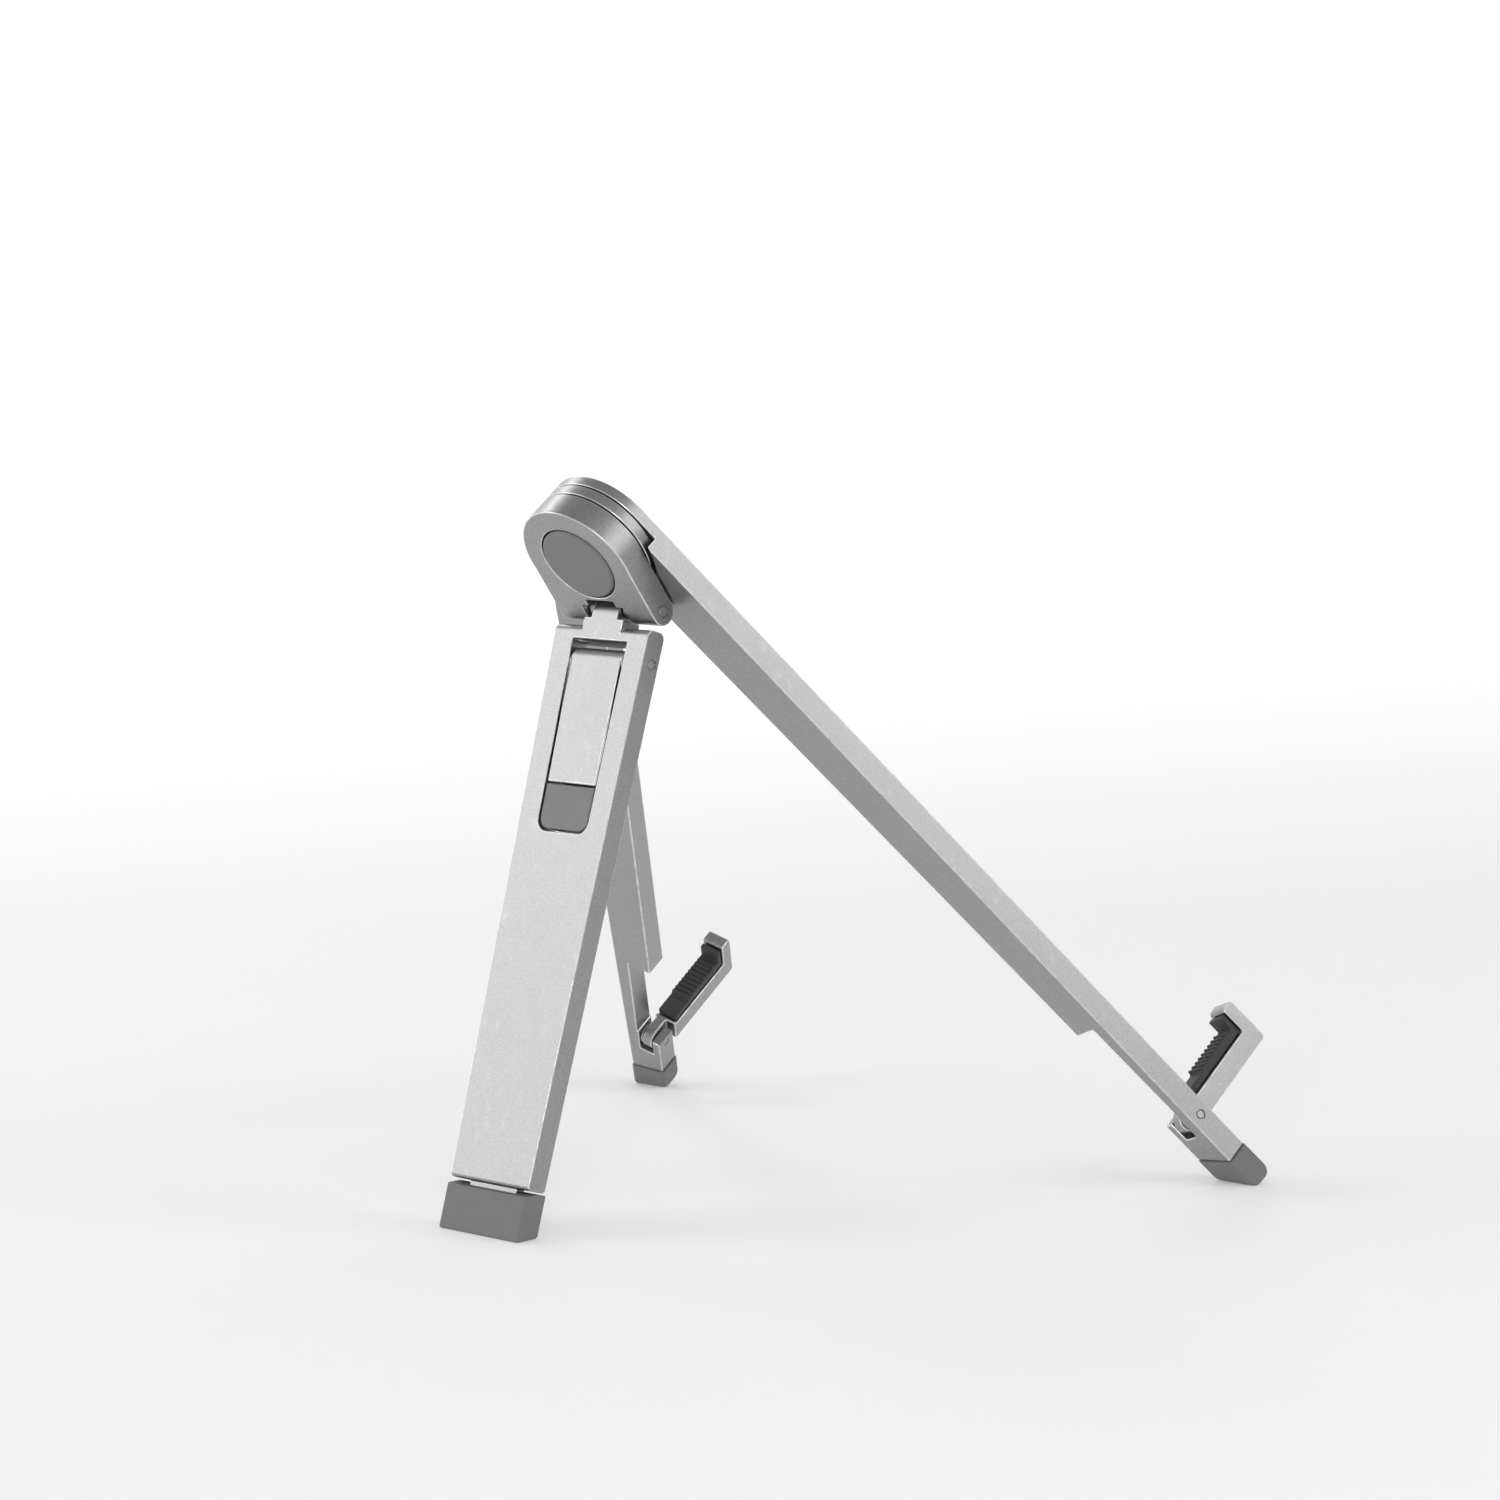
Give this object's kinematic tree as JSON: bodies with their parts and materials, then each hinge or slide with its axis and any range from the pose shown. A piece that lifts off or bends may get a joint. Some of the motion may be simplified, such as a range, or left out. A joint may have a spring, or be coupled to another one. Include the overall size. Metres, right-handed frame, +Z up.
{
  "type": "tablet stand",
  "caption": "Folding aluminium tripod stand for a tablet: fanning front legs with fold-out arms, a hinged rear leg and a short typing leg inside it.",
  "frame": {"origin": "centre of the open stand's bounding box, on the ground", "axes": "+Z up, -Y to the user and the tablet, +X to the right of a person behind the stand's front"},
  "size_m": [0.1628, 0.1362, 0.1336],
  "materials": {
    "aluminium": "bead-blasted, clear anodised, with polished edges",
    "steel": "ground steel pins and washers",
    "rubber": "matte mid-grey rubber",
    "cap_grey": "satin grey",
    "nylon": "plain"
  },
  "bodies": {
    "head": {"head_knuckle": "aluminium", "head_cap": "cap_grey", "pivot_axle": "steel", "pivot_nut": "steel", "pivot_spring_washer": "steel", "pivot_washer_front": "nylon", "pivot_washer_rear": "nylon", "rear_hinge_pin": "steel", "hinge_washer_left": "steel", "hinge_washer_right": "steel"},
    "front_leg_left": {"front_leg_left": "aluminium", "front_foot_left": "rubber", "front_pad": "rubber", "arm_pin_left": "steel", "arm_washer_left": "steel"},
    "front_leg_right": {"front_leg_right": "aluminium", "front_foot_right": "rubber", "arm_pin_right": "steel", "arm_washer_right": "steel"},
    "arm_left": {"arm_left": "aluminium", "arm_pad_left": "rubber"},
    "arm_right": {"arm_right": "aluminium", "arm_pad_right": "rubber"},
    "rear_leg": {"rear_leg": "aluminium", "rear_foot": "rubber", "typing_leg_pin": "steel", "typing_leg_spring": "steel"},
    "typing_leg": {"typing_leg": "aluminium", "typing_leg_tip": "rubber"}
  },
  "joints": [
    {"name": "left_leg_fold", "type": "hinge", "parent": "head", "child": "front_leg_left", "pos_m": [0, 0.03323, 0.12239], "axis": [0, -0.81, 0.5864], "range_deg": [0, 25.65]},
    {"name": "right_leg_fold", "type": "hinge", "parent": "head", "child": "front_leg_right", "pos_m": [0, 0.03323, 0.12239], "axis": [0, 0.81, -0.5864], "range_deg": [0, 25.65]},
    {"name": "rear_leg_fold", "type": "hinge", "parent": "head", "child": "rear_leg", "pos_m": [0, 0.0302, 0.10916], "axis": [-1, 0, 0], "range_deg": [0, 53.6]},
    {"name": "typing_leg_swing", "type": "hinge", "parent": "rear_leg", "child": "typing_leg", "pos_m": [0, 0.03318, 0.09982], "axis": [1, 0, 0], "range_deg": [0, 100]},
    {"name": "left_arm_fold", "type": "hinge", "parent": "front_leg_left", "child": "arm_left", "pos_m": [-0.06844, -0.04695, 0.01162], "axis": [-0.9015, 0.2538, 0.3506], "range_deg": [0, 90]},
    {"name": "right_arm_fold", "type": "hinge", "parent": "front_leg_right", "child": "arm_right", "pos_m": [0.06844, -0.04695, 0.01162], "axis": [-0.9015, -0.2538, -0.3506], "range_deg": [0, 90]}
  ]
}
